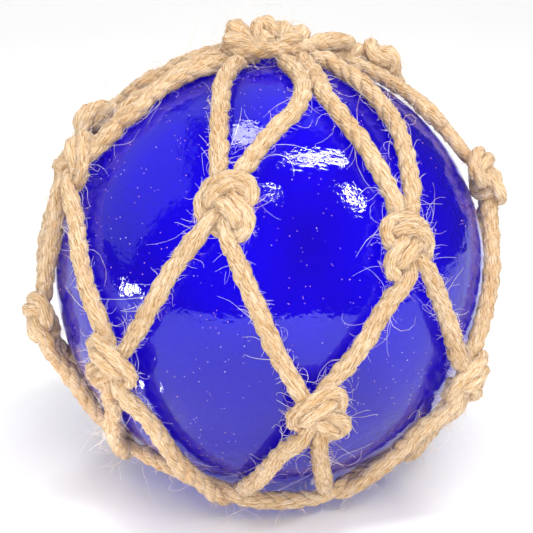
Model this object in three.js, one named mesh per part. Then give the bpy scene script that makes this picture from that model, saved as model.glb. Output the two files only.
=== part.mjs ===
import * as THREE from 'three';

// A blown glass float ball in a knotted net of three-strand jute rope.
// The model stands on +Z up, its front faces -Y, and the origin is the middle of the flat under the ball.

// Driving sizes, in millimetres
const BALL_DIAMETER = 150;
const BALL_REST_WIDTH = 24;
const ROPE_DIAMETER = 6;
const ROPE_IN_KNOTS = 3.8;
const ROPE_IN_HITCHES = 3.7;
const TOUCH_GAP = 0.3;
const CROWN_RING_DIAMETER = 20;
const TAIL_STUB_LENGTH = 6;

// Places on the ball as [polar, azimuth] in degrees: polar from the crown down, azimuth from the
// front towards the right. The net is tied by hand, so no two meshes are alike.
const UPPER_KNOTS = [[56.9, -70.8], [56.3, -14.7], [68.4, 37.5], [64, 92], [60, 144], [58, 198], [55.6, 256.5]];
const LOWER_KNOTS = [[98.3, -78.5], [97.7, -37], [105, 8.7], [107, 55], [104, 111], [102, 167], [99, 224]];
const BASE_BIGHTS = [[136.5, -68], [143, -16.3], [146.2, 28.9], [140, 70], [138, 139], [137, 195.5], [138, 252]];
// The crown has slipped a little to one side. The hitches and the loose end go round its own middle.
const CROWN = [1.5, 250];
const HITCH_AZIMUTHS = [-60, 54, 104, 147, 188, 226, 262];
// Some legs lie off the straight way between knot and hitch: the rope, its side and a place it goes by.
const STRAYING_LEGS = [
  { rope: 1, side: 1, goesBy: [25.7, 20.3] },
  { rope: 2, side: -1, goesBy: [28.7, 30.6] },
  { rope: 2, side: 1, goesBy: [37, 58] },
];
const TAIL_KNOT = [28, 112];
const TAIL_LEAVES_RING_AT = 80;
const KNOT_LEANS = [8, -6, 12, -10, 5, -8, 10];

// Facets of the solids
const ROPE_SIDES = 5;
const BALL_SEGMENTS = 36;
const BALL_ROWS = 18;
const BEND_TOLERANCE = 0.385;
const THICKNESS_TOLERANCE = 0.7;
// An arc bows out by its length times its bend, divided by this.
const ARC_TO_BOW = 8;

// How the courses are drawn, and then pulled tight
const POINT_SPACING = 2.5;
const KNOT_DRAWN_SCALE = 1.05;
const KNOT_REACH = 5.2;
const KNOT_TIGHTNESS = 0.5;
const LEG_END_LENGTH = 2 * ROPE_DIAMETER;
const HITCH_TIGHTNESS = 0.9;
const NEAR_MIDDLE = 0.8;
const KNOT_HEIGHT = 1.8;
const SMALL_STEP = 0.001;
// The crown ring, in degrees round from where its end leaves it, and how far out that end steps.
const RING_TURN = [10, 346];
const RING_STEPS = 20;
const RING_STEPS_OUT = 5;
const PULLING_ROUNDS = 220;
const SETTLE_ROUNDS = 320;
const ROUNDS_PER_SEARCH = 10;
const SEARCH_REACH = 1.3 * ROPE_DIAMETER;
const PUSH_SHARE = 1.4;
const BENDING_WHILE_PULLED = 0.3;
const BENDING_AT_REST = 0.075;
const NEIGHBOURS_IN_A_ROPE = 4;
const OWN_REACH = 1.3 * ROPE_IN_KNOTS;
const THINNING_ROUNDS = 60;
const THINNING_SHARE = 0.15;
const NEARLY_PARALLEL = 1e-9;

const BALL_RADIUS = BALL_DIAMETER / 2;
const BED = ROPE_DIAMETER / 2 + TOUCH_GAP;
const MESHES = UPPER_KNOTS.length;
const KNOT_RUN = KNOT_REACH * ROPE_IN_KNOTS;
// A polygon of this radius has the area of the round rope.
const SECTION_RADIUS = (ROPE_DIAMETER / 2) * Math.sqrt(2 * Math.PI / ROPE_SIDES / Math.sin(2 * Math.PI / ROPE_SIDES));
const REST_HEIGHT = Math.sqrt(BALL_RADIUS ** 2 - (BALL_REST_WIDTH / 2) ** 2);
const CROWN_POLAR = THREE.MathUtils.radToDeg(Math.asin(CROWN_RING_DIAMETER / 2 / (BALL_RADIUS + BED)));

function directionAt(polar, azimuth) {
  const p = THREE.MathUtils.degToRad(polar);
  const a = THREE.MathUtils.degToRad(azimuth);
  return new THREE.Vector3(Math.sin(p) * Math.sin(a), -Math.sin(p) * Math.cos(a), Math.cos(p));
}

// A patch of the glass: right and up are lengths along it, height is the distance off it.
class Patch {
  constructor(polar, azimuth, lean = 0) {
    const a = THREE.MathUtils.degToRad(azimuth);
    this.centre = directionAt(polar, azimuth);
    this.right = new THREE.Vector3(Math.cos(a), Math.sin(a), 0);
    this.up = new THREE.Vector3().crossVectors(this.centre, this.right);
    const turn = THREE.MathUtils.degToRad(lean);
    this.right.applyAxisAngle(this.centre, -turn);
    this.up.applyAxisAngle(this.centre, -turn);
  }

  tilted(turn) {
    [this.centre, this.right, this.up].forEach((way) => way.applyQuaternion(turn));
    return this;
  }

  at(right, up, height) {
    const along = this.right.clone().multiplyScalar(right).addScaledVector(this.up, up);
    const angle = along.length() / BALL_RADIUS;
    const direction = this.centre.clone().multiplyScalar(Math.cos(angle));
    direction.addScaledVector(along.normalize(), Math.sin(angle));
    return direction.multiplyScalar(BALL_RADIUS + height);
  }

  // The way to another place on the ball, as a unit vector of right and up.
  bearing(target) {
    return new THREE.Vector2(target.dot(this.right), target.dot(this.up)).normalize();
  }
}

const turned = (index) => (index + MESHES) % MESHES;
const upperPatch = (i) => new Patch(...UPPER_KNOTS[turned(i)], KNOT_LEANS[turned(i)]);
const lowerPatch = (i) => new Patch(...LOWER_KNOTS[turned(i)], -KNOT_LEANS[turned(i)]);
const basePatch = (i) => new Patch(...BASE_BIGHTS[turned(i)]);
const crownTilt = new THREE.Quaternion().setFromUnitVectors(new THREE.Vector3(0, 0, 1), directionAt(...CROWN));
const crownPatch = (polar, azimuth) => new Patch(polar, azimuth).tilted(crownTilt);
const hitchPatch = (i) => crownPatch(CROWN_POLAR, HITCH_AZIMUTHS[turned(i)]);
const knotHand = (i) => (turned(i) % 3 === 1 ? -1 : 1);
const bightHand = (i) => (turned(i) % 2 === 1 ? 1 : -1);

// The open overhand knot, drawn flat: it enters at the top, leaves at the bottom, and its
// crossings go under and over by turns.
const KNOT_END = 1.93;
const CROSSINGS = [-KNOT_END, -Math.sqrt(3), -0.518, 0.518, Math.sqrt(3), KNOT_END];
const KNOT_STEPS = 36;

function overhandPoint(t) {
  return new THREE.Vector2(t ** 4 - 4 * t ** 2 + 1.3, 3 * t - t ** 3);
}

function overhandLayer(t) {
  let k = 0;
  while (k < CROSSINGS.length - 2 && t > CROSSINGS[k + 1]) {
    k += 1;
  }
  const share = THREE.MathUtils.clamp((t - CROSSINGS[k]) / (CROSSINGS[k + 1] - CROSSINGS[k]), 0, 1);
  return (k % 2 === 0 ? -1 : 1) * Math.cos(share * Math.PI);
}

// One strand of a knot. side is -1 for the left strand, 1 for the right one and 0 for one alone;
// hand is -1 for a mirrored knot. top and bottom are the bearings on which it comes and goes, and
// runIn and runOut are how far out from the middle of the knot it starts and ends.
function knotStrand(patch, side, hand, top, bottom, runIn = KNOT_RUN, runOut = KNOT_RUN) {
  const scale = ROPE_IN_KNOTS * KNOT_DRAWN_SCALE;
  const outside = (way, length) => patch.at(way.x * length, way.y * length, BED);
  const places = [outside(top, runIn), outside(top, NEAR_MIDDLE * runIn)];
  for (let k = 0; k <= KNOT_STEPS; k += 1) {
    const t = THREE.MathUtils.lerp(-KNOT_END, KNOT_END, k / KNOT_STEPS);
    const here = overhandPoint(t);
    const ahead = overhandPoint(t + SMALL_STEP).sub(overhandPoint(t - SMALL_STEP)).normalize();
    const offset = side * hand * ROPE_IN_KNOTS / 2;
    const right = here.x * scale - ahead.y * offset;
    const up = here.y * scale + ahead.x * offset;
    places.push(patch.at(hand * right, up, ROPE_IN_KNOTS * (KNOT_HEIGHT + overhandLayer(t))));
  }
  places.push(outside(bottom, NEAR_MIDDLE * runOut), outside(bottom, runOut));
  return { places, thickness: ROPE_IN_KNOTS, tightness: KNOT_TIGHTNESS, held: true };
}

// Shapes drawn in rope thicknesses: right, up, and height above a rope that lies on the glass.
function drawn(patch, shape) {
  const size = ROPE_IN_HITCHES;
  const places = shape.map(([right, up, height]) => patch.at(right * size, up * size, BED + height * size));
  return { places, thickness: size, tightness: HITCH_TIGHTNESS };
}

// A short piece of leg that lies through a patch, on its way from one patch to another.
function leg(patch, from, to) {
  const half = LEG_END_LENGTH / 2;
  const start = patch.bearing(from.centre).multiplyScalar(half);
  const end = patch.bearing(to.centre).multiplyScalar(half);
  const places = [patch.at(start.x, start.y, BED), patch.at(end.x, end.y, BED)];
  return { places, thickness: ROPE_DIAMETER, tightness: 1, held: true };
}

function reversed(stretch) {
  return { ...stretch, places: [...stretch.places].reverse() };
}

// The hitch on the crown ring: under the ring, over it, across both strands, over it and under it.
const HITCH_SHAPE = [
  [-0.6, -1.4, 0], [-0.55, -0.8, 0], [-0.5, 0, 0], [-0.6, 0.8, 0.4], [-0.7, 0.9, 1.2],
  [-0.8, 0.5, 2], [-0.85, -0.4, 2], [-0.8, -1.0, 1.5], [-0.5, -1.4, 1.0], [0, -1.5, 0.95],
  [0.5, -1.4, 1.0], [0.8, -1.0, 1.5], [0.85, -0.4, 2], [0.8, 0.5, 2], [0.7, 0.9, 1.2],
  [0.55, 0.85, 0.4],
];
// The next rope comes in under the ring and stops where the hitch's own end does.
const HITCH_NEIGHBOUR = [[0.5, -0.1, 0], [0.55, -0.8, 0], [0.6, -1.4, 0]];
// The bight on the base ring: over the ring, round below it, and back up between ring and glass.
const BIGHT_SHAPE = [
  [-1.5, 1.4, 0.3], [-1.0, 0.7, 0.9], [-0.6, -0.1, 1.25], [-0.3, -0.9, 0.9],
  [0.15, -1.25, 0.3], [0.6, -0.9, 0], [0.85, -0.1, 0], [1.15, 0.8, 0], [1.5, 1.4, 0],
];

// The base ring passes under one side of a bight and over the other. The crown ring lies over the
// roots of the hitches, and its end drops down between two of them.
const RING_AT_BIGHT = [[-0.7, 0, 0.1], [0.9, 0, 1.0]];
const RING_OVER_HITCHES = [[0, 0, 1]];
const RING_DROPS_OFF = [[0.3, 0, 0.8]];

function bight(patch, hand) {
  const stretch = drawn(patch, BIGHT_SHAPE.map(([right, up, height]) => [hand * right, up, height]));
  return hand < 0 ? reversed(stretch) : stretch;
}

// A net rope in the order of its stretches, from the crown round its mesh and back to the crown.
function netRope(i) {
  const upper = upperPatch(i);
  const left = lowerPatch(i);
  const right = lowerPatch(i + 1);
  const base = basePatch(i);
  const from = hitchPatch(i - 1);
  const to = hitchPatch(i);
  const knot = (patch, side, hand, above, below) => (
    knotStrand(patch, side, hand, patch.bearing(above.centre), patch.bearing(below.centre)));
  const strays = (side) => STRAYING_LEGS
    .filter((stray) => stray.rope === i && stray.side === side)
    .map((stray) => new Patch(...stray.goesBy));
  const [leftStray, rightStray] = [strays(-1), strays(1)];
  return course([
    drawn(from, HITCH_NEIGHBOUR),
    ...leftStray.map((patch) => leg(patch, from, upper)),
    knot(upper, -1, knotHand(i), leftStray[0] || from, left),
    knot(left, 1, -knotHand(i), upper, base),
    bight(base, bightHand(i)),
    reversed(knot(right, -1, -knotHand(i + 1), upper, base)),
    reversed(knot(upper, 1, knotHand(i), rightStray[0] || to, right)),
    ...rightStray.map((patch) => leg(patch, upper, to)),
    drawn(to, HITCH_SHAPE),
  ]);
}

// The base ring runs from bight to bight, under one side of each and over the other.
function baseRing() {
  const places = [];
  for (let i = 0; i < MESHES; i += 1) {
    const hand = bightHand(i);
    const pair = RING_AT_BIGHT.map(([right, up, height]) => [hand * right, up, height]);
    pair.sort((a, b) => a[0] - b[0]);
    places.push(...drawn(basePatch(i), pair).places);
  }
  return course([{ places, thickness: ROPE_IN_HITCHES, tightness: 1 }], true);
}

// The crown ring is one turn of rope; its end runs out over the net to a stopper knot.
function crownRing() {
  const places = [];
  const [first, last] = RING_TURN.map((angle) => TAIL_LEAVES_RING_AT + angle);
  for (let k = 0; k <= RING_STEPS; k += 1) {
    const azimuth = THREE.MathUtils.lerp(first, last, k / RING_STEPS);
    places.push(...drawn(crownPatch(CROWN_POLAR, azimuth), RING_OVER_HITCHES).places);
  }
  const start = crownPatch(CROWN_POLAR + RING_STEPS_OUT, TAIL_LEAVES_RING_AT);
  places.push(...drawn(start, RING_DROPS_OFF).places);
  const ring = { places, thickness: ROPE_IN_HITCHES, tightness: 1 };
  const knotPatch = new Patch(...TAIL_KNOT);
  const towards = knotPatch.bearing(start.centre);
  const away = towards.clone().negate();
  const stopper = knotStrand(knotPatch, 0, 1, towards, away, KNOT_RUN / 2, KNOT_RUN / 2 + TAIL_STUB_LENGTH);
  return course([ring, stopper]);
}

// Joins stretches with legs that lie on the glass, and divides the whole evenly.
function course(stretches, closed = false) {
  const points = [];
  stretches.forEach((stretch, index) => {
    const { places, thickness, tightness, held } = stretch;
    const curve = new THREE.CatmullRomCurve3(places, closed, 'centripetal');
    const count = Math.round(curve.getLength() / POINT_SPACING);
    for (let k = 0; k < (closed ? count : count + 1); k += 1) {
      const anchored = held && (k === 0 || k === count);
      points.push({ place: curve.getPointAt(k / count), thickness, tightness, held: anchored });
    }
    if (index + 1 < stretches.length) {
      const start = places[places.length - 1];
      const end = stretches[index + 1].places[0];
      const sweep = start.angleTo(end);
      const legs = Math.max(1, Math.round(sweep * start.length() / POINT_SPACING));
      for (let k = 1; k < legs; k += 1) {
        const share = k / legs;
        const place = start.clone().normalize().multiplyScalar(Math.sin((1 - share) * sweep));
        place.addScaledVector(end.clone().normalize(), Math.sin(share * sweep));
        place.setLength(THREE.MathUtils.lerp(start.length(), end.length(), share));
        const inside = Math.min(k, legs - k) * POINT_SPACING > LEG_END_LENGTH;
        points.push({ place, thickness: ROPE_DIAMETER, tightness: 1, held: inside });
      }
    }
  });
  return { points, closed };
}

// Draws the slack out of every course: lengths shorten, neighbours push each other apart, and
// nothing sinks into the glass.
function settle(courses) {
  const all = [];
  const links = [];
  courses.forEach(({ points, closed }, rope) => {
    const first = all.length;
    points.forEach((point, order) => all.push(Object.assign(point, { rope, order, closed, size: points.length })));
    for (let k = 0; k < (closed ? points.length : points.length - 1); k += 1) {
      const a = all[first + k];
      const b = all[first + (k + 1) % points.length];
      links.push({ a, b, length: a.place.distanceTo(b.place), tightness: Math.min(a.tightness, b.tightness) });
    }
  });
  all.forEach((point) => Object.assign(point, { push: new THREE.Vector3(), pushes: 0 }));
  const near = (p, q) => {
    if (p.rope !== q.rope) {
      return false;
    }
    const apart = Math.abs(p.order - q.order);
    return Math.min(apart, p.closed ? p.size - apart : apart) <= NEIGHBOURS_IN_A_ROPE;
  };
  const gap = new THREE.Vector3();
  const shove = (point, vector, scale) => {
    if (!point.held) {
      point.push.addScaledVector(vector, scale);
      point.pushes += 1;
    }
  };
  let pairs = [];
  for (let round = 0; round < SETTLE_ROUNDS; round += 1) {
    if (round % ROUNDS_PER_SEARCH === 0) {
      pairs = [];
      for (let i = 0; i < all.length; i += 1) {
        for (let j = i + 1; j < all.length; j += 1) {
          const p = all[i];
          const q = all[j];
          if (!(p.held && q.held) && p.place.distanceTo(q.place) < SEARCH_REACH && !near(p, q)) {
            pairs.push([p, q, (p.thickness + q.thickness) / 2]);
          }
        }
      }
    }
    const drawnIn = Math.min(1, round / PULLING_ROUNDS);
    const pulling = round < PULLING_ROUNDS;
    links.forEach(({ a, b, length, tightness }) => {
      if (!pulling && tightness < 1) {
        return;
      }
      gap.subVectors(b.place, a.place);
      const now = gap.length();
      const wanted = length * THREE.MathUtils.lerp(1, tightness, drawnIn);
      const share = (now - wanted) / now / 2;
      shove(a, gap, share);
      shove(b, gap, -share);
    });
    pairs.forEach(([p, q, apart]) => {
      gap.subVectors(q.place, p.place);
      const now = gap.length();
      if (now < apart) {
        const share = (apart - now) / now / 2;
        shove(p, gap, -share);
        shove(q, gap, share);
      }
    });
    links.forEach((link, k) => {
      const next = links[k + 1];
      if (next && next.a === link.b) {
        gap.addVectors(link.a.place, next.b.place).multiplyScalar(0.5).sub(link.b.place);
        shove(link.b, gap, pulling ? BENDING_WHILE_PULLED : BENDING_AT_REST);
      }
    });
    all.forEach((point) => {
      if (point.pushes > 0) {
        point.place.addScaledVector(point.push, PUSH_SHARE / point.pushes);
        point.push.set(0, 0, 0);
        point.pushes = 0;
      }
      const lowest = BALL_RADIUS + TOUCH_GAP + point.thickness / 2;
      if (point.place.length() < lowest) {
        point.place.setLength(lowest);
      }
    });
  }
}

// Thins a course to the vertices of its solid, where it bends or where its thickness changes.
function vertices({ points, closed }, radiusAt) {
  const kept = [0];
  let bend = 0;
  let travelled = 0;
  for (let k = 1; k < points.length - 1; k += 1) {
    const before = points[k].place.clone().sub(points[k - 1].place);
    const after = points[k + 1].place.clone().sub(points[k].place);
    bend += before.angleTo(after);
    travelled += before.length();
    const thinned = Math.abs(radiusAt[k] - radiusAt[kept[kept.length - 1]]) > THICKNESS_TOLERANCE;
    if (bend * (travelled + after.length()) / ARC_TO_BOW > BEND_TOLERANCE || thinned) {
      kept.push(k);
      bend = 0;
      travelled = 0;
    }
  }
  if (!closed) {
    kept.push(points.length - 1);
  }
  return kept.map((k) => points[k].place);
}

// Where two straight stretches come closest: the shares along each, and the distance between.
function closest(a, b, c, d) {
  const ab = b.clone().sub(a);
  const cd = d.clone().sub(c);
  const ac = a.clone().sub(c);
  const aa = ab.dot(ab);
  const cc = cd.dot(cd);
  const mixed = ab.dot(cd);
  const e = ab.dot(ac);
  const f = cd.dot(ac);
  const determinant = aa * cc - mixed * mixed;
  let s = determinant > NEARLY_PARALLEL ? THREE.MathUtils.clamp((mixed * f - e * cc) / determinant, 0, 1) : 0;
  let t = (mixed * s + f) / cc;
  if (t < 0 || t > 1) {
    t = THREE.MathUtils.clamp(t, 0, 1);
    s = THREE.MathUtils.clamp((mixed * t - e) / aa, 0, 1);
  }
  const distance = a.clone().addScaledVector(ab, s).distanceTo(c.clone().addScaledVector(cd, t));
  return { s, t, distance };
}

// Each rope is as thick as its neighbours leave room for, up to its own thickness. Its section
// narrows evenly from vertex to vertex, so each touch is shared between the vertices beside it.
function radii(ropes) {
  const segments = [];
  const radius = ropes.map(({ path }) => (
    path.map((place) => Math.min(SECTION_RADIUS, place.length() - BALL_RADIUS - TOUCH_GAP))));
  ropes.forEach(({ path, closed }, rope) => {
    let run = 0;
    path.forEach((start, k) => {
      if (closed || k < path.length - 1) {
        const after = (k + 1) % path.length;
        const length = start.distanceTo(path[after]);
        segments.push({ rope, k, after, start, end: path[after], length, run });
        run += length;
      }
    });
  });
  const touches = [];
  segments.forEach((p, i) => {
    for (let j = i + 1; j < segments.length; j += 1) {
      const q = segments[j];
      if (p.start.distanceTo(q.start) > 2 * SECTION_RADIUS + TOUCH_GAP + p.length + q.length) {
        continue;
      }
      const wrapped = p.rope === q.rope && (p.k === q.after || q.k === p.after);
      if (wrapped || (p.rope === q.rope && q.run - p.run - p.length < OWN_REACH)) {
        continue;
      }
      const { s, t, distance } = closest(p.start, p.end, q.start, q.end);
      if (distance < 2 * SECTION_RADIUS + TOUCH_GAP) {
        touches.push({ p, q, s, t, room: distance - TOUCH_GAP });
      }
    }
  });
  const thin = ({ rope, k, after }, share, excess) => {
    const scale = THINNING_SHARE * excess / ((1 - share) ** 2 + share ** 2);
    radius[rope][k] -= scale * (1 - share);
    radius[rope][after] -= scale * share;
  };
  const at = ({ rope, k, after }, share) => (
    THREE.MathUtils.lerp(radius[rope][k], radius[rope][after], share));
  for (let round = 0; round < THINNING_ROUNDS; round += 1) {
    touches.forEach(({ p, q, s, t, room }) => {
      const most = room / 2;
      const over = at(p, s) + at(q, t) - room;
      if (over > 0) {
        const overP = Math.max(0, at(p, s) - most);
        const overQ = Math.max(0, at(q, t) - most);
        thin(p, s, over * overP / (overP + overQ));
        thin(q, t, over * overQ / (overP + overQ));
      }
    });
  }
  return radius;
}

// Wraps a round section of changing radius along a path.
function ropeGeometry(path, radiusAt, closed) {
  const count = path.length;
  const at = (k) => path[closed ? (k + count) % count : THREE.MathUtils.clamp(k, 0, count - 1)];
  const geometry = closed
    ? new THREE.TorusGeometry(1, 0.5, ROPE_SIDES, count)
    : new THREE.ExtrudeGeometry(
      new THREE.Shape(new THREE.Path().absarc(0, 0, 1, 0, Math.PI * 2).getSpacedPoints(ROPE_SIDES).slice(0, -1)),
      { steps: count - 1, depth: count - 1, bevelEnabled: false },
    );
  const frames = [];
  let normal = at(0).clone().normalize();
  for (let k = 0; k < count; k += 1) {
    const tangent = at(k + 1).clone().sub(at(k - 1)).normalize();
    normal = closed ? at(k).clone().normalize() : normal;
    normal = normal.clone().addScaledVector(tangent, -normal.dot(tangent)).normalize();
    frames.push({ normal, binormal: new THREE.Vector3().crossVectors(tangent, normal) });
  }
  const positions = geometry.attributes.position;
  const place = new THREE.Vector3();
  for (let v = 0; v < positions.count; v += 1) {
    let step = Math.round(positions.getZ(v));
    let x = positions.getX(v);
    let y = positions.getY(v);
    if (closed) {
      step = Math.floor(v % (count + 1)) % count;
      const angle = -Math.floor(v / (count + 1)) / ROPE_SIDES * Math.PI * 2;
      x = Math.cos(angle);
      y = Math.sin(angle);
    }
    place.copy(at(step)).addScaledVector(frames[step].normal, x * radiusAt[step]);
    place.addScaledVector(frames[step].binormal, y * radiusAt[step]);
    positions.setXYZ(v, place.x, place.y, place.z);
  }
  geometry.deleteAttribute('uv');
  geometry.computeVertexNormals();
  return geometry;
}

// The ball is a lathed profile from its worn flat to the top.
function ballGeometry() {
  const lowest = Math.acos(REST_HEIGHT / BALL_RADIUS);
  const profile = [new THREE.Vector2(0, -REST_HEIGHT)];
  for (let k = 0; k <= BALL_ROWS; k += 1) {
    const angle = THREE.MathUtils.lerp(lowest, Math.PI, k / BALL_ROWS);
    profile.push(new THREE.Vector2(Math.abs(BALL_RADIUS * Math.sin(angle)), -BALL_RADIUS * Math.cos(angle)));
  }
  profile[profile.length - 1].x = 0;
  return new THREE.LatheGeometry(profile, BALL_SEGMENTS).rotateX(Math.PI / 2);
}

const glass = new THREE.MeshStandardMaterial({ color: 0x1a1ad8, roughness: 0.04, metalness: 0 });
const jute = new THREE.MeshStandardMaterial({ color: 0xd9bd8a, roughness: 0.9, metalness: 0 });

const courses = [];
for (let i = 0; i < MESHES; i += 1) {
  courses.push({ name: `net_rope_${i + 1}`, ...netRope(i) });
}
courses.push({ name: 'crown_ring_rope', ...crownRing() });
courses.push({ name: 'base_ring_rope', ...baseRing() });
settle(courses);

const fine = courses.map(({ points, closed }) => ({ path: points.map((point) => point.place), closed }));
const fineRadii = radii(fine);
const ropes = courses.map((each, k) => ({
  name: each.name,
  closed: each.closed,
  path: vertices(each, fineRadii[k]),
}));
const ropeRadii = radii(ropes);

const float = new THREE.Group();
float.position.z = REST_HEIGHT;
const ball = new THREE.Mesh(ballGeometry(), glass);
ball.name = 'glass_float';
float.add(ball);
ropes.forEach(({ name, path, closed }, k) => {
  const rope = new THREE.Mesh(ropeGeometry(path, ropeRadii[k], closed), jute.clone());
  rope.name = name;
  float.add(rope);
});

export default float;
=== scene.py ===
import math

import bmesh
import bpy
import numpy as np
from mathutils import Matrix, Quaternion, Vector, noise


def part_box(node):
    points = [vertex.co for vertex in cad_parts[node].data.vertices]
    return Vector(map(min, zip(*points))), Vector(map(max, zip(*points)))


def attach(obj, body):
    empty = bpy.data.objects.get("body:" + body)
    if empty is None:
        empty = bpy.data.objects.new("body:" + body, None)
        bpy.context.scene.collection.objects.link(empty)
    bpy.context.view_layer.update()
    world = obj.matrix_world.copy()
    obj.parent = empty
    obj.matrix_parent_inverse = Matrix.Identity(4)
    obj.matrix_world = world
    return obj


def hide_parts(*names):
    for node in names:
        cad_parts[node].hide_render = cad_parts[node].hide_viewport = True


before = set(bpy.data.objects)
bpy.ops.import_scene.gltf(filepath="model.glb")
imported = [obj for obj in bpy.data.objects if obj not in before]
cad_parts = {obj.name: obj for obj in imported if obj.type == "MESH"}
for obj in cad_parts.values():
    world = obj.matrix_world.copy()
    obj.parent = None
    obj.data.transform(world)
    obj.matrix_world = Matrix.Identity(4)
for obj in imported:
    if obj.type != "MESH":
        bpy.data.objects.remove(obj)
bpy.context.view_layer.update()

# A blown glass float ball in a knotted net of three-strand jute rope, in metres.
MM = 0.001
SEED = 11

# The ball, from the frame
ball_low, ball_high = (Vector(corner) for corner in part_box("glass_float"))
BALL_RADIUS = (ball_high.x - ball_low.x) / 2
BALL_CENTRE = Vector((0, 0, ball_high.z - BALL_RADIUS))
GLASS_WALL = 3.5 * MM
GLASS_WAVE = 0.22 * MM
WAVE_LENGTH = 13 * MM
FINER_WAVE = 2.3
FINER_WAVE_SHIFT = Vector((7, 3, 5))
BALL_SEGMENTS = 192
CUT_WIDTH = 0.001 * MM
# The waves and the air seeds keep this far above the worn flat.
CLEAR_OF_FLAT = 1.0 * MM
OUTSIDE_ROUGHNESS, OUTSIDE_CLEARNESS = 0.005, 0.88
INSIDE_ROUGHNESS, INSIDE_CLEARNESS = 0.38, 1.0

# The air seeds in the glass. They gather where a slow noise is high.
AIR_SEEDS = 4600
AIR_SEED_RADIUS = (0.09 * MM, 0.12 * MM)
AIR_SEED_GROWTH = (1.0, 1.6)
AIR_SEED_CROWDS = 2.5

# The rope. Its solid is thinner in knots and hitches, so it is swollen there and then evened out.
NET_ROPES = 7
ROPE_RADIUS = 3.0 * MM
SWELL_IN_KNOTS = 1.42
LEAST_ROPE_RADIUS = 2.3 * MM
EVEN_OUT_OVER = 9
ROUTE_STEP = 1.0 * MM
POINTS_PER_SPAN = 12
RING_CUTS = 90
SAME_PLACE = 0.02 * MM
# Along a rope's solid a vertex has this many neighbours, and at the ends fewer.
VERTEX_NEIGHBOURS = 6

# The strands of the rope
STRANDS = 3
STRAND_SHARE = 0.70
STRAND_GAP = 0.04
LAY_LENGTH = 17 * MM
STRAND_SIDES = 8
STRAND_ROUGHNESS = 0.15 * MM
YARN_TWIST = 0.346 / MM
STRAND_SHIFT = 0.37
LOOSENESS = 0.07
WANDER_POINTS = 25
LUMP_POINTS = 7
LUMP_IN_PLACE = 0.04
LUMP_IN_THICKNESS = 0.06
CLOSING_LENGTH = 10 * MM

# The loose fibres, short fuzz and long single ones. Lift is how steeply they leave the rope.
FUZZ = {"per_metre": 4100, "lengths": (0.8 * MM, 3.8 * MM), "points": 3, "curl": 0.60, "lift": (0.2, 1.2)}
LONG_FIBRES = {"per_metre": 700, "lengths": (4 * MM, 19 * MM), "points": 7, "curl": 0.50, "lift": (0.1, 1.0)}
FIBRE_SIDES = 4
FIBRE_RADIUS = 0.055 * MM
FIBRE_THICKNESSES = (0.7, 1.3)
FIBRE_TIP = 0.45
FIBRE_ROOT = 0.93
FIBRE_LEAN = (0.5, 1.6)
FIBRE_SPREAD = 0.35
FIBRE_WANDER = 0.12
CURL_SHARES = (0.1, 1.1)
FIBRES_REACH = 18 * MM
OFF_THE_FLOOR = 0.2 * MM

# The camera stands 20 degrees above the ball and eight of its radii away.
CAMERA_ELEVATION = math.radians(20)
CAMERA_DISTANCE = 8 * BALL_RADIUS
CAMERA_LENS = 115.26
SENSOR_WIDTH = 36
CLIP_START = 0.01
CAMERA_ASIDE = -1.23 * MM
CAMERA_LIFT = 1.23 * MM

FLOOR_RADIUS = 1.05
FLOOR_SEGMENTS = 96


# ---------------------------------------------------------------- materials
def new_material(name):
    material = bpy.data.materials.new(name)
    material.use_nodes = True
    nodes, links = material.node_tree.nodes, material.node_tree.links
    return material, nodes, links, nodes["Principled BSDF"]


def noise_on(nodes, links, vector, scale, detail, roughness=0.5):
    texture = nodes.new("ShaderNodeTexNoise")
    texture.inputs["Scale"].default_value = scale
    texture.inputs["Detail"].default_value = detail
    texture.inputs["Roughness"].default_value = roughness
    links.new(vector, texture.inputs["Vector"])
    return texture.outputs["Fac"]


def stretched(nodes, links, vector, stretch):
    mapping = nodes.new("ShaderNodeMapping")
    mapping.inputs["Scale"].default_value = stretch
    links.new(vector, mapping.inputs["Vector"])
    return mapping.outputs["Vector"]


def ramp(nodes, links, value, stops):
    node = nodes.new("ShaderNodeValToRGB")
    node.color_ramp.elements[0].position = stops[0][0]
    node.color_ramp.elements[0].color = (*stops[0][1], 1)
    node.color_ramp.elements[1].position = stops[-1][0]
    node.color_ramp.elements[1].color = (*stops[-1][1], 1)
    for position, colour in stops[1:-1]:
        node.color_ramp.elements.new(position).color = (*colour, 1)
    links.new(value, node.inputs["Fac"])
    return node.outputs["Color"]


def multiplied(nodes, links, first, second):
    node = nodes.new("ShaderNodeMix")
    node.data_type = "RGBA"
    node.blend_type = "MULTIPLY"
    node.inputs["Factor"].default_value = 1.0
    links.new(first, node.inputs["A"])
    links.new(second, node.inputs["B"])
    return node.outputs["Result"]


def bumped(nodes, links, height, strength, distance, before=None):
    bump = nodes.new("ShaderNodeBump")
    bump.inputs["Strength"].default_value = strength
    bump.inputs["Distance"].default_value = distance
    links.new(height, bump.inputs["Height"])
    if before:
        links.new(before, bump.inputs["Normal"])
    return bump.outputs["Normal"]


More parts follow.
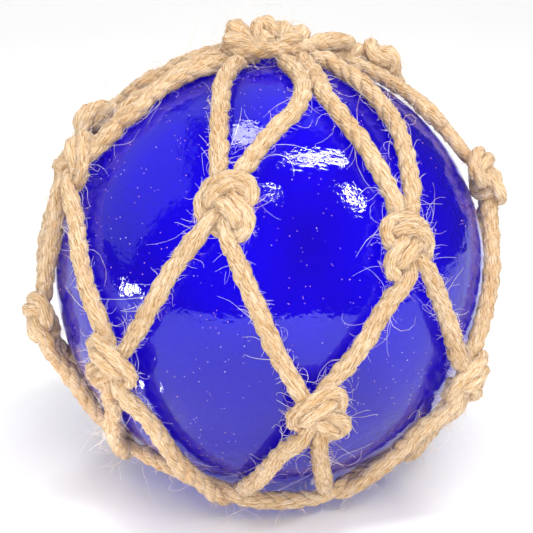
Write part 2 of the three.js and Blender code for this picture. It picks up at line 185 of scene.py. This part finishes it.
def jute_material():
    """Laid jute: streaks along the yarns, brown fibres and pale painted highlights on the fibres, and no
    gloss.
    """
    material, nodes, links, shader = new_material("laid_jute")
    lay = nodes.new("ShaderNodeAttribute")
    lay.attribute_name = "lay"
    along = stretched(nodes, links, lay.outputs["Vector"], (260, 2300, 2300))
    streaks = noise_on(nodes, links, along, 1.0, 5.0, 0.7)
    place = nodes.new("ShaderNodeTexCoord").outputs["Object"]
    patches = noise_on(nodes, links, place, 55.0, 3.0)
    # Brown to tan streaks are the fibres' own colour; the palest stop is a painted highlight along the
    # fibres.
    fibre_tone_and_painted_highlights = ramp(nodes, links, streaks, [
        (0.34, (0.30, 0.14, 0.045)),
        (0.43, (0.62, 0.38, 0.17)),
        (0.51, (0.80, 0.57, 0.33)),
        (0.62, (0.93, 0.79, 0.61)),
    ])
    patchy = ramp(nodes, links, patches, [(0.3, (0.80, 0.70, 0.58)), (0.7, (1.0, 1.0, 1.0))])
    links.new(multiplied(nodes, links, fibre_tone_and_painted_highlights, patchy), shader.inputs["Base Color"])
    links.new(bumped(nodes, links, streaks, 1.0, 0.9 * MM), shader.inputs["Normal"])
    shader.inputs["Roughness"].default_value = 0.88
    shader.inputs["Specular IOR Level"].default_value = 0.2
    shader.inputs["Sheen Weight"].default_value = 0.25
    shader.inputs["Sheen Roughness"].default_value = 0.5
    return material


def fibre_material():
    """Single jute fibres, paler than the rope, some of them reddish."""
    material, nodes, links, shader = new_material("loose_jute_fibre")
    place = nodes.new("ShaderNodeTexCoord").outputs["Object"]
    tone = noise_on(nodes, links, place, 160.0, 2.0)
    colour = ramp(nodes, links, tone, [
        (0.30, (0.55, 0.26, 0.10)),
        (0.40, (0.86, 0.62, 0.40)),
        (0.60, (0.98, 0.86, 0.72)),
    ])
    links.new(colour, shader.inputs["Base Color"])
    shader.inputs["Roughness"].default_value = 0.6
    shader.inputs["Sheen Weight"].default_value = 0.3
    return material


def glass_material(name, roughness, clearness):
    """Cobalt blown glass. Its wall is wavy and streaked from being turned."""
    material, nodes, links, shader = new_material(name)
    place = nodes.new("ShaderNodeTexCoord").outputs["Object"]
    waves = noise_on(nodes, links, stretched(nodes, links, place, (1, 1, 1.6)), 90.0, 3.0, 0.6)
    ripples = noise_on(nodes, links, stretched(nodes, links, place, (2.6, 2.6, 1.0)), 260.0, 2.0, 0.6)
    broad = bumped(nodes, links, waves, 0.5, 0.55 * MM)
    links.new(bumped(nodes, links, ripples, 0.6, 0.14 * MM, broad), shader.inputs["Normal"])
    shader.inputs["Base Color"].default_value = (0.040, 0.006, 0.92, 1)
    shader.inputs["Transmission Weight"].default_value = clearness
    shader.inputs["Roughness"].default_value = roughness
    shader.inputs["IOR"].default_value = 1.5
    return material


def painted_glint_bubble_material():
    """The small air bubbles in the glass, coloured orange to pink as painted glints."""
    material, nodes, links, shader = new_material("air_seed")
    place = nodes.new("ShaderNodeTexCoord").outputs["Object"]
    tone = noise_on(nodes, links, place, 90.0, 1.0)
    # Orange to pink painted glints on the bubbles, not a colour the air has.
    links.new(ramp(nodes, links, tone, [(0.45, (1.0, 0.40, 0.30)), (0.62, (1.0, 0.80, 0.95))]),
              shader.inputs["Base Color"])
    shader.inputs["Roughness"].default_value = 0.25
    return material


def floor_material():
    material, nodes, links, shader = new_material("pale_floor")
    place = nodes.new("ShaderNodeTexCoord").outputs["Object"]
    tone = noise_on(nodes, links, place, 3.0, 2.0)
    links.new(ramp(nodes, links, tone, [(0.3, (0.90, 0.90, 0.90)), (0.7, (0.92, 0.92, 0.92))]),
              shader.inputs["Base Color"])
    shader.inputs["Roughness"].default_value = 0.9
    shader.inputs["Specular IOR Level"].default_value = 0.1
    return material


# ---------------------------------------------------------------- the ropes' routes
def rings_of(node):
    """The rings of vertices that make the solid of an open rope, from one end to the other."""
    solid = bmesh.new()
    solid.from_mesh(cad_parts[node].data)
    bmesh.ops.remove_doubles(solid, verts=solid.verts, dist=SAME_PLACE)
    linked = {v.index: {e.other_vert(v).index for e in v.link_edges} for v in solid.verts}
    solid.verts.ensure_lookup_table()
    at_ends = {v for v, others in linked.items() if len(others) < VERTEX_NEIGHBOURS}
    start = min(at_ends)
    ring = {v for v in at_ends if v == start or v in linked[start]}
    ring |= {v for v in at_ends if linked[v] & ring}
    ring |= {v for v in linked if ring <= linked[v] | {v} and v not in ring}
    rings, seen = [], set()
    while ring:
        rings.append(np.array([solid.verts[v].co for v in sorted(ring)]))
        seen |= ring
        ring = {w for v in ring for w in linked[v]} - seen
    solid.free()
    return rings


def open_route(node):
    """The middle line of an open rope and the radius at each of its points."""
    rings = rings_of(node)
    middles = np.array([ring.mean(axis=0) for ring in rings])
    radii = np.array([np.linalg.norm(ring - middle, axis=1).mean() for ring, middle in zip(rings, middles)])
    return middles, radii


def ring_route(node):
    """The middle line and the radii of a closed rope, from upright cuts all the way round."""
    solid = bmesh.new()
    solid.from_mesh(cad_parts[node].data)
    bmesh.ops.remove_doubles(solid, verts=solid.verts, dist=SAME_PLACE)
    ends = np.array([[v.co for v in edge.verts] for edge in solid.edges])
    solid.free()
    middles, radii = [], []
    for k in range(RING_CUTS):
        angle = 2 * math.pi * k / RING_CUTS
        outward = np.array([math.cos(angle), math.sin(angle), 0.0])
        across = np.array([-math.sin(angle), math.cos(angle), 0.0])
        sides = ends @ across
        cut = (sides[:, 0] * sides[:, 1] < 0) & ((ends @ outward).min(axis=1) > 0)
        share = sides[cut, 0] / (sides[cut, 0] - sides[cut, 1])
        crossings = ends[cut, 0] + (ends[cut, 1] - ends[cut, 0]) * share[:, None]
        middle = crossings.mean(axis=0)
        middles.append(middle)
        radii.append(np.linalg.norm(crossings - middle, axis=1).min())
    return np.array(middles), np.array(radii)


def evened(middles, radii, closed):
    """A smooth line through the middles with a point at each step."""
    if closed:
        padded = np.vstack([middles[-1], middles, middles[:2]])
        thick = np.concatenate([radii[-1:], radii, radii[:2]])
    else:
        padded = np.vstack([2 * middles[0] - middles[1], middles, 2 * middles[-1] - middles[-2]])
        thick = np.concatenate([radii[:1], radii, radii[-1:]])
    places, widths = [], []
    fine = np.linspace(0, 1, POINTS_PER_SPAN, endpoint=False)
    for k in range(len(padded) - 3):
        p = padded[k:k + 4]
        knots = np.concatenate([[0], np.cumsum(np.sqrt(np.linalg.norm(np.diff(p, axis=0), axis=1)))])
        t = (knots[1] + (knots[2] - knots[1]) * fine)[:, None]
        a = [(knots[j + 1] - t) / (knots[j + 1] - knots[j]) * p[j]
             + (t - knots[j]) / (knots[j + 1] - knots[j]) * p[j + 1] for j in range(3)]
        b = [(knots[j + 2] - t) / (knots[j + 2] - knots[j]) * a[j]
             + (t - knots[j]) / (knots[j + 2] - knots[j]) * a[j + 1] for j in range(2)]
        span = knots[2] - knots[1]
        places.append((knots[2] - t) / span * b[0] + (t - knots[1]) / span * b[1])
        widths.append(thick[k + 1] + (thick[k + 2] - thick[k + 1]) * fine)
    places.append(middles[:1] if closed else middles[-1:])
    widths.append(radii[:1] if closed else radii[-1:])
    places, widths = np.vstack(places), np.concatenate(widths)
    run = np.concatenate([[0], np.cumsum(np.linalg.norm(np.diff(places, axis=0), axis=1))])
    count = round(run[-1] / ROUTE_STEP)
    wanted = np.linspace(0, run[-1], count + 1)
    if closed:
        wanted = wanted[:-1]
    line = np.stack([np.interp(wanted, run, places[:, axis]) for axis in range(3)], axis=1)
    return line, np.interp(wanted, run, widths), run[-1]


def frames_along(line, closed):
    """Unit vectors across the line that turn with it and don't twist."""
    if closed:
        tangents = np.roll(line, -1, axis=0) - np.roll(line, 1, axis=0)
    else:
        tangents = np.gradient(line, axis=0)
    tangents /= np.linalg.norm(tangents, axis=1)[:, None]
    outward = line - np.array(BALL_CENTRE)
    outward /= np.linalg.norm(outward, axis=1)[:, None]
    normals = []
    normal = outward[0]
    for k, tangent in enumerate(tangents):
        normal = outward[k] if closed else normal
        normal = normal - tangent * normal.dot(tangent)
        normal = normal / np.linalg.norm(normal)
        normals.append(normal)
    normals = np.array(normals)
    return tangents, normals, np.cross(tangents, normals)


# ---------------------------------------------------------------- laid rope
def running_mean(values, points):
    return np.convolve(values, np.full(points, 1 / points), "valid")


def slow_noise(rng, count, points):
    """Random values that change slowly, because each is a mean over several points."""
    return running_mean(rng.normal(0, 1, count + points - 1), points) * math.sqrt(points)


def strand_lines(line, radii, length, closed, rng):
    """The three strands of a rope, each as its middle line and its radii."""
    _, normals, binormals = frames_along(line, closed)
    run = np.arange(len(line)) * ROUTE_STEP
    turns = round(length / LAY_LENGTH) if closed else length / LAY_LENGTH
    phase = 2 * math.pi * turns * run / length
    wander = slow_noise(rng, len(line), WANDER_POINTS)
    strands = []
    for s in range(STRANDS):
        lumps = slow_noise(rng, len(line), LUMP_POINTS)
        if closed:
            fade = np.minimum(1, np.minimum(run, run[-1] - run) / CLOSING_LENGTH)
            lumps, wander = lumps * fade, wander * fade
        angle = phase + 2 * math.pi * s / STRANDS + LOOSENESS * wander
        away = radii * (1 - STRAND_SHARE + STRAND_GAP) * (1 + LUMP_IN_PLACE * lumps)
        place = line + normals * (np.cos(angle) * away)[:, None]
        place += binormals * (np.sin(angle) * away)[:, None]
        strands.append((place, radii * STRAND_SHARE * (1 + LUMP_IN_THICKNESS * lumps)))
    return strands


def swept(name, lines, sides, closed=False):
    """A mesh of round sections swept along lines, each line with its own radii."""
    curve = bpy.data.curves.new(name, "CURVE")
    curve.dimensions = "3D"
    curve.bevel_depth = 1.0
    curve.bevel_resolution = (sides - 4) // 2
    curve.resolution_u = 1
    for places, radii in lines:
        spline = curve.splines.new("POLY")
        spline.points.add(len(places) - 1)
        homogeneous = np.ones((len(places), 4), np.float32)
        homogeneous[:, :3] = places
        spline.points.foreach_set("co", homogeneous.ravel())
        spline.points.foreach_set("radius", np.asarray(radii, np.float32))
        spline.use_cyclic_u = closed
        spline.use_smooth = True
    holder = bpy.data.objects.new(name, curve)
    bpy.context.scene.collection.objects.link(holder)
    bpy.context.view_layer.update()
    mesh = bpy.data.meshes.new_from_object(holder.evaluated_get(bpy.context.evaluated_depsgraph_get()))
    bpy.data.objects.remove(holder)
    bpy.data.curves.remove(curve)
    tubes = bmesh.new()
    tubes.from_mesh(mesh)
    bmesh.ops.holes_fill(tubes, edges=[edge for edge in tubes.edges if edge.is_boundary], sides=sides)
    bmesh.ops.recalc_face_normals(tubes, faces=tubes.faces)
    tubes.to_mesh(mesh)
    tubes.free()
    return mesh


def roughened(mesh, strands, rng):
    """Roughens the strands, and keeps for each vertex its place along and across the twisted yarns."""
    corners = np.empty(len(mesh.vertices) * 3, np.float32)
    mesh.vertices.foreach_get("co", corners)
    corners = corners.reshape(-1, 3)
    lay = np.zeros_like(corners)
    first = 0
    for number, (places, _) in enumerate(strands):
        count = len(places) * STRAND_SIDES
        own = corners[first:first + count].reshape(len(places), STRAND_SIDES, 3)
        run = np.arange(len(places))[:, None] * ROUTE_STEP
        angle = np.arange(STRAND_SIDES)[None, :] * 2 * math.pi / STRAND_SIDES + YARN_TWIST * run
        across = own - places[:, None, :]
        width = np.linalg.norm(across, axis=2)
        own += across / width[:, :, None] * rng.normal(0, STRAND_ROUGHNESS, (*width.shape, 1))
        along = run + 0 * angle + number * STRAND_SHIFT
        own_lay = np.stack([along, np.cos(angle) * width, np.sin(angle) * width], axis=2)
        lay[first:first + count] = own_lay.reshape(-1, 3)
        first += count
    mesh.vertices.foreach_set("co", corners.ravel())
    attribute = mesh.attributes.new("lay", "FLOAT_VECTOR", "POINT")
    attribute.data.foreach_set("vector", lay.ravel())


def fibre_lines(line, radii, closed, rng, per_metre, lengths, points, curl, lift):
    """Loose fibres that leave the rope's surface, curl, and lie on the glass where they meet it."""
    tangents, normals, binormals = frames_along(line, closed)
    count = int(len(line) * ROUTE_STEP * per_metre)
    at = rng.integers(0, len(line), count)
    angle = rng.uniform(0, 2 * math.pi, count)
    outward = normals[at] * np.cos(angle)[:, None] + binormals[at] * np.sin(angle)[:, None]
    length = lengths[0] + (lengths[1] - lengths[0]) * rng.uniform(0.0, 1.0, count) ** 2
    step = (length / (points - 1))[:, None]
    place = line[at] + outward * radii[at][:, None] * FIBRE_ROOT
    heading = outward * rng.uniform(*lift, count)[:, None]
    lean = rng.choice([-1.0, 1.0], count) * rng.uniform(*FIBRE_LEAN, count)
    heading += tangents[at] * lean[:, None]
    heading += rng.normal(0, FIBRE_SPREAD, (count, 3))
    axis = rng.normal(0, 1, (count, 3)) * curl * rng.uniform(*CURL_SHARES, (count, 1))
    places = [place]
    centre = np.array(BALL_CENTRE)
    nearest = BALL_RADIUS + 3 * FIBRE_RADIUS + GLASS_WAVE
    farthest = BALL_RADIUS + FIBRES_REACH
    for _ in range(points - 1):
        heading /= np.linalg.norm(heading, axis=1)[:, None]
        place = place + heading * step
        height = np.linalg.norm(place - centre, axis=1)
        kept = np.clip(height, nearest, farthest)
        place = centre + (place - centre) * (kept / height)[:, None]
        place[:, 2] = np.maximum(place[:, 2], OFF_THE_FLOOR)
        places.append(place)
        heading = heading + np.cross(axis, heading) + rng.normal(0, FIBRE_WANDER, (count, 3))
    thick = FIBRE_RADIUS * rng.uniform(*FIBRE_THICKNESSES, count)
    taper = np.linspace(1.0, FIBRE_TIP, points)
    return [(np.array([p[k] for p in places]), thick[k] * taper) for k in range(count)]


def joined(name, meshes_and_materials):
    """One object from several meshes, each with its own material."""
    whole = bmesh.new()
    combined = bpy.data.meshes.new(name)
    for index, (mesh, material) in enumerate(meshes_and_materials):
        mesh.polygons.foreach_set("material_index", np.full(len(mesh.polygons), index, np.int32))
        mesh.polygons.foreach_set("use_smooth", np.ones(len(mesh.polygons), bool))
        whole.from_mesh(mesh)
        combined.materials.append(material)
        bpy.data.meshes.remove(mesh)
    whole.to_mesh(combined)
    whole.free()
    piece = bpy.data.objects.new(name, combined)
    bpy.context.scene.collection.objects.link(piece)
    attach(piece, "root")
    return piece


def laid_rope(node, closed, rng, jute, fibre):
    """The rope that stands for a node: its strands on the solid's own route, and its fibres."""
    middles, solid_radii = ring_route(node) if closed else open_route(node)
    line, radii, length = evened(middles, solid_radii, closed)
    radii = np.clip(radii * SWELL_IN_KNOTS, LEAST_ROPE_RADIUS, ROPE_RADIUS)
    around = np.pad(radii, EVEN_OUT_OVER // 2, mode="wrap" if closed else "edge")
    radii = running_mean(around, EVEN_OUT_OVER)
    strands = strand_lines(line, radii, length, closed, rng)
    rope = swept(node + "_strands", strands, STRAND_SIDES, closed)
    roughened(rope, strands, rng)
    fuzz = fibre_lines(line, radii, closed, rng, **FUZZ)
    loose = fibre_lines(line, radii, closed, rng, **LONG_FIBRES)
    hair = swept(node + "_fibres", fuzz + loose, FIBRE_SIDES)
    piece = joined(node + "_laid", [(rope, jute), (hair, fibre)])
    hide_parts(node)
    return piece


# ---------------------------------------------------------------- the glass
def glass_skin(radius, lowest):
    """A sphere with its underside cut flat."""
    skin = bmesh.new()
    bmesh.ops.create_uvsphere(skin, u_segments=BALL_SEGMENTS, v_segments=BALL_SEGMENTS // 2, radius=radius)
    cut = bmesh.ops.bisect_plane(
        skin, geom=skin.verts[:] + skin.edges[:] + skin.faces[:], dist=CUT_WIDTH,
        plane_co=(0, 0, lowest), plane_no=(0, 0, -1), clear_outer=True)
    rim = [edge for edge in cut["geom_cut"] if isinstance(edge, bmesh.types.BMEdge)]
    bmesh.ops.edgeloop_fill(skin, edges=rim)
    bmesh.ops.recalc_face_normals(skin, faces=skin.faces)
    return skin


def waved(skin):
    """The slow waves of a wall that was blown by hand. The worn flat stays flat."""
    lowest = min(v.co.z for v in skin.verts)
    for v in skin.verts:
        if v.co.z > lowest + CLEAR_OF_FLAT:
            place = v.co / WAVE_LENGTH
            wave = noise.noise(place) + 0.5 * noise.noise(place * FINER_WAVE + FINER_WAVE_SHIFT)
            v.co -= v.co.normalized() * GLASS_WAVE * (1 + wave) / 2


def air_seeds(lowest):
    """Small air bubbles just under the outer skin, clear of the worn flat."""
    seeds = bmesh.new()
    rng = np.random.default_rng(SEED)
    for _ in range(AIR_SEEDS):
        way = rng.normal(0, 1, 3)
        way /= np.linalg.norm(way)
        crowd = 0.5 + noise.noise(Vector(way) * AIR_SEED_CROWDS)
        place = way * (BALL_RADIUS - GLASS_WAVE * rng.uniform(0.0, 1.0))
        size = rng.uniform(*AIR_SEED_RADIUS) * rng.uniform(*AIR_SEED_GROWTH)
        if place[2] > lowest and rng.uniform(0.0, 1.0) < crowd:
            bmesh.ops.create_icosphere(seeds, subdivisions=1, radius=size, matrix=Matrix.Translation(place))
    return seeds


def glass_ball(outer_glass, inner_glass, bubble):
    """The hollow ball: a wavy outer skin, an inner skin that faces the hollow, and the air seeds."""
    rest = ball_low.z - BALL_CENTRE.z
    outer = glass_skin(BALL_RADIUS, rest)
    waved(outer)
    inner = glass_skin(BALL_RADIUS - GLASS_WALL, rest + GLASS_WALL)
    bmesh.ops.reverse_faces(inner, faces=inner.faces)
    seeds = air_seeds(rest + CLEAR_OF_FLAT)
    meshes = []
    for form, material in ((outer, outer_glass), (inner, inner_glass), (seeds, bubble)):
        bmesh.ops.translate(form, verts=form.verts, vec=BALL_CENTRE)
        mesh = bpy.data.meshes.new("glass_layer")
        form.to_mesh(mesh)
        form.free()
        meshes.append((mesh, material))
    piece = joined("glass_ball", meshes)
    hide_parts("glass_float")
    return piece


# ---------------------------------------------------------------- the studio
def pale_floor():
    """A round floor under the ball. It isn't part of the object."""
    disc = bmesh.new()
    bmesh.ops.create_circle(disc, cap_ends=True, segments=FLOOR_SEGMENTS, radius=FLOOR_RADIUS)
    mesh = bpy.data.meshes.new("floor")
    disc.to_mesh(mesh)
    disc.free()
    mesh.materials.append(floor_material())
    floor = bpy.data.objects.new("floor", mesh)
    bpy.context.scene.collection.objects.link(floor)


def soft_box(name, azimuth, elevation, distance, width, height, power, mirrored=True, roll=0):
    """A flat light that faces the ball. Its azimuth, elevation and roll are in degrees."""
    a, e = math.radians(azimuth), math.radians(elevation)
    away = Vector((math.sin(a) * math.cos(e), -math.cos(a) * math.cos(e), math.sin(e)))
    light = bpy.data.lights.new(name, "AREA")
    light.shape = "RECTANGLE"
    light.size, light.size_y = width, height
    light.energy = power
    lamp = bpy.data.objects.new(name, light)
    lamp.visible_glossy = mirrored
    lamp.visible_camera = False
    lamp.location = BALL_CENTRE + away * distance
    lamp.rotation_mode = "QUATERNION"
    lamp.rotation_quaternion = away.to_track_quat("Z", "Y") @ Quaternion((0, 0, 1), math.radians(roll))
    bpy.context.scene.collection.objects.link(lamp)


def studio():
    """Soft light all round. The windows, walls and cards are also mirrored in the glass."""
    world = bpy.data.worlds.new("studio")
    world.use_nodes = True
    background = world.node_tree.nodes["Background"]
    background.inputs["Color"].default_value = (1, 1, 1, 1)
    background.inputs["Strength"].default_value = 0.06
    bpy.context.scene.world = world
    # Each has its azimuth, elevation, distance, width, height and power.
    soft_box("overhead", 0, 80, 1.5, 1.6, 1.6, 13, mirrored=False)
    soft_box("front_fill", 0, 38, 1.6, 1.4, 1.2, 12, mirrored=False)
    soft_box("low_fill", 5, 9, 1.5, 1.8, 0.4, 15, mirrored=False)
    soft_box("backlight", 180, 4, 1.6, 2.6, 0.5, 18, mirrored=False)
    soft_box("left_wall", -105, 32, 1.4, 1.5, 1.2, 3.0)
    soft_box("ceiling", 180, 62, 1.3, 1.2, 0.8, 1.8)
    soft_box("window_high", 69, 68, 1.2, 0.56, 0.09, 4.5, roll=-44)
    soft_box("window_low", 62, 45, 1.2, 0.22, 0.10, 3, roll=-80)
    soft_box("window_small", 2, 60, 1.2, 0.03, 0.10, 0.5)
    soft_box("window_far", -110, 78, 1.2, 0.20, 0.26, 2.2)
    soft_box("card_left", -71, -1, 0.6, 0.10, 0.04, 0.4)
    soft_box("card_low_left", -52, -30, 0.13, 0.02, 0.006, 0.02)


def camera():
    """The view that the sizes were taken from, from the front and a little above."""
    looks = Vector((0, math.cos(CAMERA_ELEVATION), -math.sin(CAMERA_ELEVATION)))
    up = Vector((0, math.sin(CAMERA_ELEVATION), math.cos(CAMERA_ELEVATION)))
    data = bpy.data.cameras.new("camera")
    data.lens = CAMERA_LENS
    data.sensor_width = SENSOR_WIDTH
    data.clip_start = CLIP_START
    eye = bpy.data.objects.new("camera", data)
    aside = Vector((CAMERA_ASIDE, 0, 0))
    eye.location = BALL_CENTRE - looks * CAMERA_DISTANCE + aside + up * CAMERA_LIFT
    eye.rotation_euler = (math.pi / 2 - CAMERA_ELEVATION, 0, 0)
    bpy.context.scene.collection.objects.link(eye)
    bpy.context.scene.camera = eye


jute = jute_material()
fibre = fibre_material()
glass_ball(
    glass_material("blown_glass_outside", OUTSIDE_ROUGHNESS, OUTSIDE_CLEARNESS),
    glass_material("blown_glass_inside", INSIDE_ROUGHNESS, INSIDE_CLEARNESS),
    painted_glint_bubble_material(),
)
ropes = [f"net_rope_{k + 1}" for k in range(NET_ROPES)] + ["crown_ring_rope"]
for number, node in enumerate(ropes):
    laid_rope(node, False, np.random.default_rng(SEED + number), jute, fibre)
laid_rope("base_ring_rope", True, np.random.default_rng(SEED + len(ropes)), jute, fibre)
pale_floor()
studio()
camera()
bpy.context.scene.view_settings.view_transform = "Standard"
